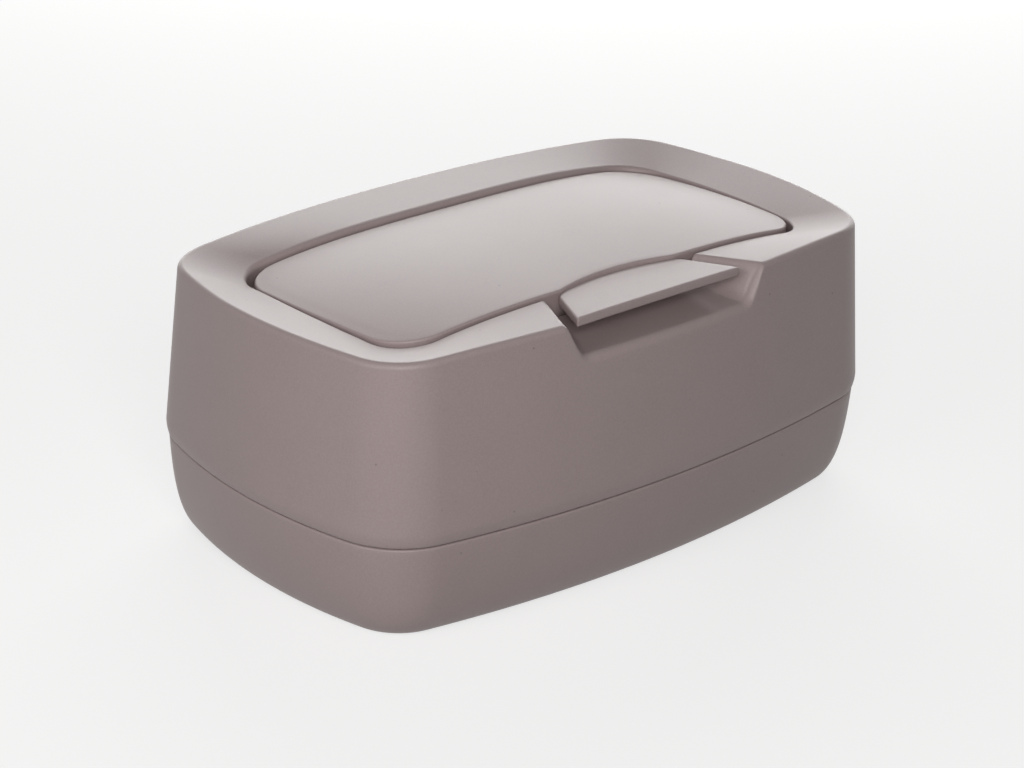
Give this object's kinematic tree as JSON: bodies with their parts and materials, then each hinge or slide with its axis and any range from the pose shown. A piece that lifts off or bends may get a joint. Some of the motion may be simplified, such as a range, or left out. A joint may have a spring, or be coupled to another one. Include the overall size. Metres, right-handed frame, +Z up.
{
  "type": "wipes box",
  "caption": "Oblong moulded wipes box with curved sides, a lift-off cover and a flap lid with a lifting tongue over the dispensing mouth.",
  "frame": {"origin": "middle of the flat underside of the tray", "axes": "+X along the long side, -Y towards the lifting tongue, +Z up"},
  "size_m": [0.22, 0.1394, 0.0907],
  "materials": {
    "tray_plastic": "satin moulded polypropylene, taupe",
    "cover_plastic": "satin moulded polypropylene, taupe",
    "lid_plastic": "satin moulded polypropylene, taupe",
    "seal_rubber": "matte soft elastomer"
  },
  "bodies": {
    "tray": {"bottom_tray": "tray_plastic"},
    "cover": {"cover_shell": "cover_plastic"},
    "lid": {"flap_lid": "lid_plastic", "lid_seal": "seal_rubber"}
  },
  "joints": [
    {"name": "cover_lift", "type": "slide", "parent": "tray", "child": "cover", "axis": [0, 0, 1], "range_m": [0, 0.06]},
    {"name": "lid_hinge", "type": "hinge", "parent": "cover", "child": "lid", "pos_m": [0, 0.0361, 0.0833], "axis": [-1, 0, 0], "range_deg": [0, 95]}
  ]
}
